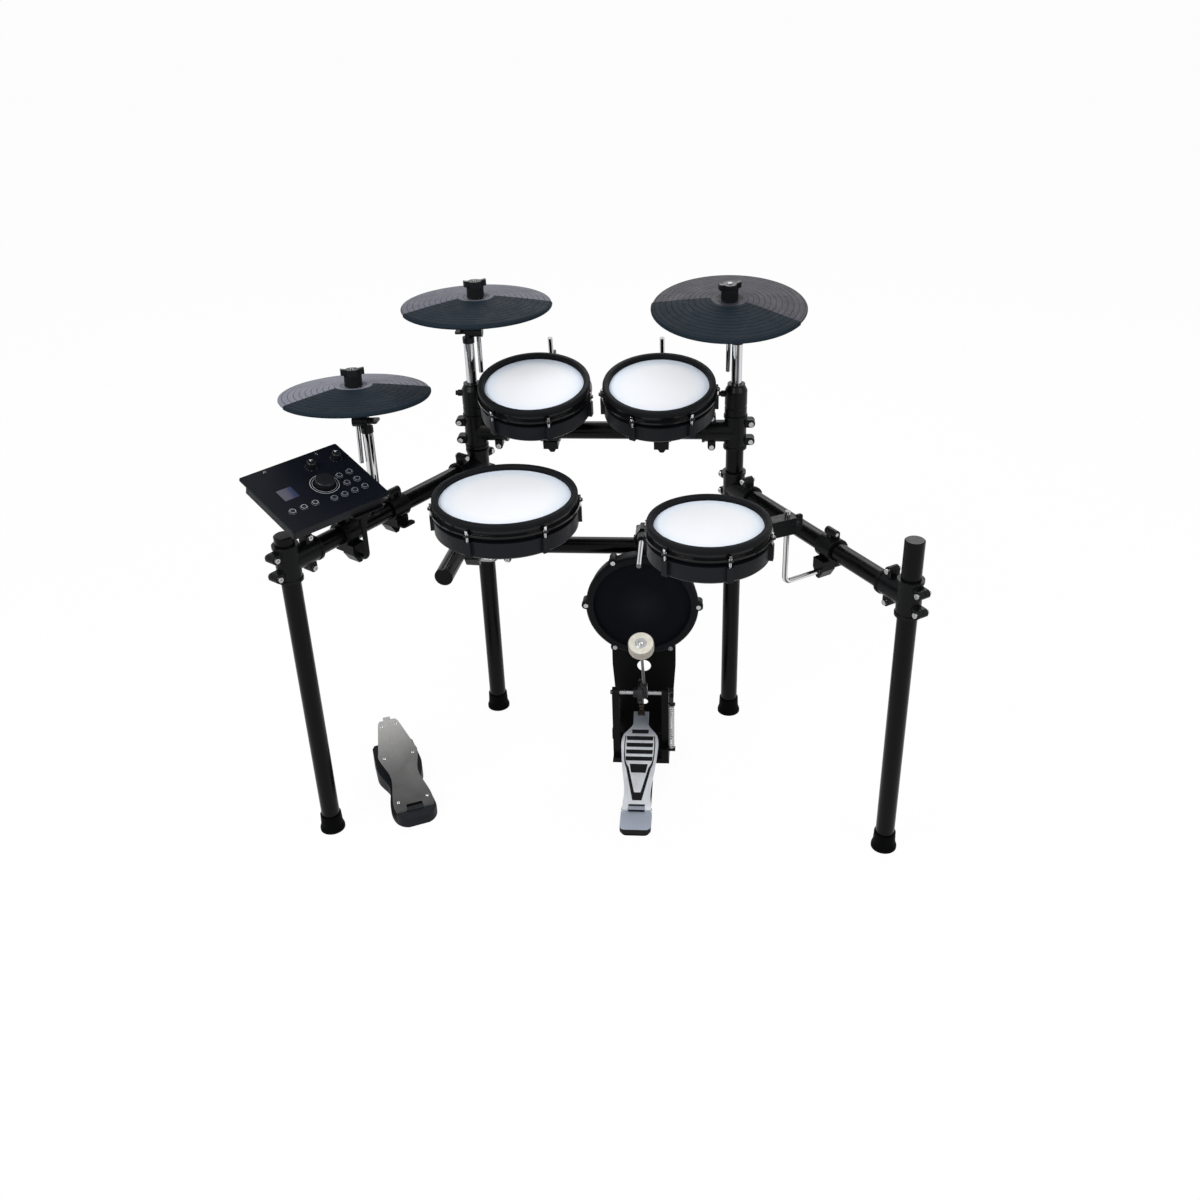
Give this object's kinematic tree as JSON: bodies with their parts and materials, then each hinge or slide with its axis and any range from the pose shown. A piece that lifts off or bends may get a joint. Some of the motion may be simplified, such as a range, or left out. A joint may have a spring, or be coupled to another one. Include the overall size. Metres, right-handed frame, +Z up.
{
  "type": "electronic drum kit",
  "caption": "Tube-rack electronic drum kit with mesh pads, rubber cymbals on tilting booms, kick pad and pedal, hi-hat controller pedal and sound module.",
  "frame": {"origin": "middle of the kit's footprint on the floor", "axes": "+X to the player's right, +Y away from the player, +Z up"},
  "size_m": [1.28, 0.695, 1.0526],
  "materials": {
    "black_tube": "satin black powder coat",
    "black_plastic": "moulded black plastic",
    "rubber_black": "matt black rubber",
    "clamp_black": "black cast jaws, chromed rod",
    "mesh_white": "woven white mesh",
    "chrome": "polished chrome",
    "steel_grey": "plated steel",
    "aluminium": "brushed aluminium",
    "key_grey": "grey key caps"
  },
  "bodies": {
    "rear_frame": {"left_rear_post": "black_tube", "right_rear_post": "black_tube", "rear_feet": "rubber_black", "upper_crossbar": "black_tube", "lower_crossbar": "black_tube", "snare_arm": "black_tube", "rear_clamps": "black_plastic", "kick_shell": "black_plastic", "kick_head": "rubber_black", "kick_tower": "black_tube", "kick_brace": "clamp_black", "kick_pedal_frame": "black_tube", "hihat_pedal_base": "black_plastic", "kick_spring": "steel_grey", "kick_chain": "steel_grey"},
    "left_wing": {"left_side_arm": "black_tube", "left_front_leg": "black_tube", "left_clamps": "black_plastic"},
    "right_wing": {"right_side_arm": "black_tube", "right_front_leg": "black_tube", "right_clamps": "black_plastic"},
    "snare_mount": {"snare_mount": "clamp_black"},
    "snare_pad": {"snare_shell": "black_plastic", "snare_head": "mesh_white"},
    "left_tom_mount": {"left_tom_mount": "clamp_black"},
    "left_tom_pad": {"left_tom_shell": "black_plastic", "left_tom_head": "mesh_white"},
    "right_tom_mount": {"right_tom_mount": "clamp_black"},
    "right_tom_pad": {"right_tom_shell": "black_plastic", "right_tom_head": "mesh_white"},
    "floor_tom_mount": {"floor_tom_mount": "clamp_black"},
    "floor_tom_pad": {"floor_tom_shell": "black_plastic", "floor_tom_head": "mesh_white"},
    "crash_stand": {"crash_stand": "chrome"},
    "crash_boom": {"crash_boom": "chrome"},
    "crash_cymbal": {"crash_cymbal": "rubber_black"},
    "ride_stand": {"ride_stand": "chrome"},
    "ride_boom": {"ride_boom": "chrome"},
    "ride_cymbal": {"ride_cymbal": "rubber_black"},
    "hihat_stand": {"hihat_stand": "chrome"},
    "hihat_boom": {"hihat_boom": "chrome"},
    "hihat_cymbal": {"hihat_cymbal": "rubber_black"},
    "kick_beater": {"kick_beater": "steel_grey"},
    "kick_footboard": {"kick_footboard": "aluminium"},
    "hihat_pedal_board": {"hihat_pedal_board": "aluminium"},
    "module": {"module_case": "black_plastic"},
    "module_dial": {"module_dial": "black_plastic"},
    "module_knob_left": {"module_knob_left": "black_plastic"},
    "module_knob_right": {"module_knob_right": "black_plastic"},
    "pad_key_1": {"pad_key_1": "key_grey"},
    "pad_key_2": {"pad_key_2": "key_grey"},
    "pad_key_3": {"pad_key_3": "key_grey"},
    "pad_key_4": {"pad_key_4": "key_grey"},
    "pad_key_5": {"pad_key_5": "key_grey"},
    "pad_key_6": {"pad_key_6": "key_grey"},
    "pad_key_7": {"pad_key_7": "key_grey"},
    "pad_key_8": {"pad_key_8": "key_grey"},
    "menu_key_1": {"menu_key_1": "key_grey"},
    "menu_key_2": {"menu_key_2": "key_grey"},
    "menu_key_3": {"menu_key_3": "key_grey"}
  },
  "joints": [
    {"name": "left_wing_fold", "type": "hinge", "parent": "rear_frame", "child": "left_wing", "pos_m": [-0.26808, 0.19189, 0.645], "axis": [0, 0, 1], "range_deg": [-28, 7]},
    {"name": "right_wing_fold", "type": "hinge", "parent": "rear_frame", "child": "right_wing", "pos_m": [0.29092, 0.19189, 0.5945], "axis": [0, 0, 1], "range_deg": [-8, 28]},
    {"name": "snare_tilt", "type": "hinge", "parent": "rear_frame", "child": "snare_mount", "pos_m": [-0.28075, 0.0344, 0.538], "axis": [-0.0802, -0.9968, 0], "range_deg": [-6, 6]},
    {"name": "snare_height", "type": "slide", "parent": "snare_mount", "child": "snare_pad", "axis": [0, 0, 1], "range_m": [-0.015, 0.012]},
    {"name": "left_tom_tilt", "type": "hinge", "parent": "rear_frame", "child": "left_tom_mount", "pos_m": [-0.10558, 0.19189, 0.725], "axis": [1, 0, 0], "range_deg": [-10, 5]},
    {"name": "left_tom_height", "type": "slide", "parent": "left_tom_mount", "child": "left_tom_pad", "axis": [0, -0.2079, 0.9781], "range_m": [-0.012, 0.012]},
    {"name": "right_tom_tilt", "type": "hinge", "parent": "rear_frame", "child": "right_tom_mount", "pos_m": [0.13342, 0.19189, 0.725], "axis": [1, 0, 0], "range_deg": [-10, 5]},
    {"name": "right_tom_height", "type": "slide", "parent": "right_tom_mount", "child": "right_tom_pad", "axis": [0, -0.2079, 0.9781], "range_m": [-0.012, 0.012]},
    {"name": "floor_tom_tilt", "type": "hinge", "parent": "right_wing", "child": "floor_tom_mount", "pos_m": [0.47867, -0.08868, 0.5945], "axis": [0.5561, -0.8311, 0], "range_deg": [-6, 6]},
    {"name": "floor_tom_height", "type": "slide", "parent": "floor_tom_mount", "child": "floor_tom_pad", "axis": [0, 0, 1], "range_m": [-0.015, 0.01]},
    {"name": "crash_height", "type": "slide", "parent": "rear_frame", "child": "crash_stand", "axis": [0, 0, 1], "range_m": [0, 0.06]},
    {"name": "crash_tilt", "type": "hinge", "parent": "crash_stand", "child": "crash_boom", "pos_m": [-0.26808, 0.19189, 0.945], "axis": [1, 0, 0], "range_deg": [-10, 10]},
    {"name": "crash_rock", "type": "hinge", "parent": "crash_boom", "child": "crash_cymbal", "pos_m": [-0.24608, 0.19306, 1.01199], "axis": [1, 0, 0], "range_deg": [-5, 5], "stiffness_Nm_per_rad": 2},
    {"name": "ride_height", "type": "slide", "parent": "rear_frame", "child": "ride_stand", "axis": [0, 0, 1], "range_m": [0, 0.06]},
    {"name": "ride_tilt", "type": "hinge", "parent": "ride_stand", "child": "ride_boom", "pos_m": [0.29092, 0.19189, 0.943], "axis": [1, 0, 0], "range_deg": [-10, 10]},
    {"name": "ride_rock", "type": "hinge", "parent": "ride_boom", "child": "ride_cymbal", "pos_m": [0.27292, 0.18315, 1.00943], "axis": [1, 0, 0], "range_deg": [-5, 5], "stiffness_Nm_per_rad": 2},
    {"name": "hihat_height", "type": "slide", "parent": "left_wing", "child": "hihat_stand", "axis": [0, 0, 1], "range_m": [0, 0.04]},
    {"name": "hihat_tilt", "type": "hinge", "parent": "hihat_stand", "child": "hihat_boom", "pos_m": [-0.45058, 0.00089, 0.822], "axis": [1, 0, 0], "range_deg": [-10, 10]},
    {"name": "hihat_rock", "type": "hinge", "parent": "hihat_boom", "child": "hihat_cymbal", "pos_m": [-0.46838, 0.00673, 0.88875], "axis": [1, 0, 0], "range_deg": [-5, 5], "stiffness_Nm_per_rad": 2},
    {"name": "beater_swing", "type": "hinge", "parent": "rear_frame", "child": "kick_beater", "pos_m": [0.09082, 0.00189, 0.176], "axis": [-1, 0, 0], "range_deg": [0, 53], "stiffness_Nm_per_rad": 0.6, "springref_deg": -28.65, "deforming": ["kick_spring", "kick_chain"]},
    {"name": "footboard_press", "type": "hinge", "parent": "rear_frame", "child": "kick_footboard", "pos_m": [0.09082, -0.20311, 0.015], "axis": [-1, 0, 0], "range_deg": [0, 6.4]},
    {"name": "hihat_pedal_press", "type": "hinge", "parent": "rear_frame", "child": "hihat_pedal_board", "pos_m": [-0.38446, -0.22527, 0.021], "axis": [-0.9011, -0.4337, 0], "range_deg": [0, 4], "stiffness_Nm_per_rad": 9, "springref_deg": -8.02},
    {"name": "module_tilt", "type": "hinge", "parent": "left_wing", "child": "module", "pos_m": [-0.43174, -0.16808, 0.69865], "axis": [0.6361, 0.7716, 0], "range_deg": [-6, 10]},
    {"name": "dial_turn", "type": "hinge", "parent": "module", "child": "module_dial", "pos_m": [-0.49226, -0.18079, 0.76578], "axis": [0.2499, -0.206, 0.9461], "continuous": true},
    {"name": "knob_left_turn", "type": "hinge", "parent": "module", "child": "module_knob_left", "pos_m": [-0.52726, -0.14144, 0.7836], "axis": [0.2499, -0.206, 0.9461], "range_deg": [-150, 150]},
    {"name": "knob_right_turn", "type": "hinge", "parent": "module", "child": "module_knob_right", "pos_m": [-0.49069, -0.09707, 0.7836], "axis": [0.2499, -0.206, 0.9461], "range_deg": [-150, 150]},
    {"name": "pad_key_1_press", "type": "slide", "parent": "module", "child": "pad_key_1", "axis": [-0.2499, 0.206, -0.9461], "range_m": [0, 0.0012], "stiffness_N_per_m": 700, "springref_m": -0.0006},
    {"name": "pad_key_2_press", "type": "slide", "parent": "module", "child": "pad_key_2", "axis": [-0.2499, 0.206, -0.9461], "range_m": [0, 0.0012], "stiffness_N_per_m": 700, "springref_m": -0.0006},
    {"name": "pad_key_3_press", "type": "slide", "parent": "module", "child": "pad_key_3", "axis": [-0.2499, 0.206, -0.9461], "range_m": [0, 0.0012], "stiffness_N_per_m": 700, "springref_m": -0.0006},
    {"name": "pad_key_4_press", "type": "slide", "parent": "module", "child": "pad_key_4", "axis": [-0.2499, 0.206, -0.9461], "range_m": [0, 0.0012], "stiffness_N_per_m": 700, "springref_m": -0.0006},
    {"name": "pad_key_5_press", "type": "slide", "parent": "module", "child": "pad_key_5", "axis": [-0.2499, 0.206, -0.9461], "range_m": [0, 0.0012], "stiffness_N_per_m": 700, "springref_m": -0.0006},
    {"name": "pad_key_6_press", "type": "slide", "parent": "module", "child": "pad_key_6", "axis": [-0.2499, 0.206, -0.9461], "range_m": [0, 0.0012], "stiffness_N_per_m": 700, "springref_m": -0.0006},
    {"name": "pad_key_7_press", "type": "slide", "parent": "module", "child": "pad_key_7", "axis": [-0.2499, 0.206, -0.9461], "range_m": [0, 0.0012], "stiffness_N_per_m": 700, "springref_m": -0.0006},
    {"name": "pad_key_8_press", "type": "slide", "parent": "module", "child": "pad_key_8", "axis": [-0.2499, 0.206, -0.9461], "range_m": [0, 0.0012], "stiffness_N_per_m": 700, "springref_m": -0.0006},
    {"name": "menu_key_1_press", "type": "slide", "parent": "module", "child": "menu_key_1", "axis": [-0.2499, 0.206, -0.9461], "range_m": [0, 0.0012], "stiffness_N_per_m": 700, "springref_m": -0.0006},
    {"name": "menu_key_2_press", "type": "slide", "parent": "module", "child": "menu_key_2", "axis": [-0.2499, 0.206, -0.9461], "range_m": [0, 0.0012], "stiffness_N_per_m": 700, "springref_m": -0.0006},
    {"name": "menu_key_3_press", "type": "slide", "parent": "module", "child": "menu_key_3", "axis": [-0.2499, 0.206, -0.9461], "range_m": [0, 0.0012], "stiffness_N_per_m": 700, "springref_m": -0.0006}
  ],
  "couplings": [
    {"joint": "footboard_press", "follows": "beater_swing", "ratio": 0.12017}
  ]
}
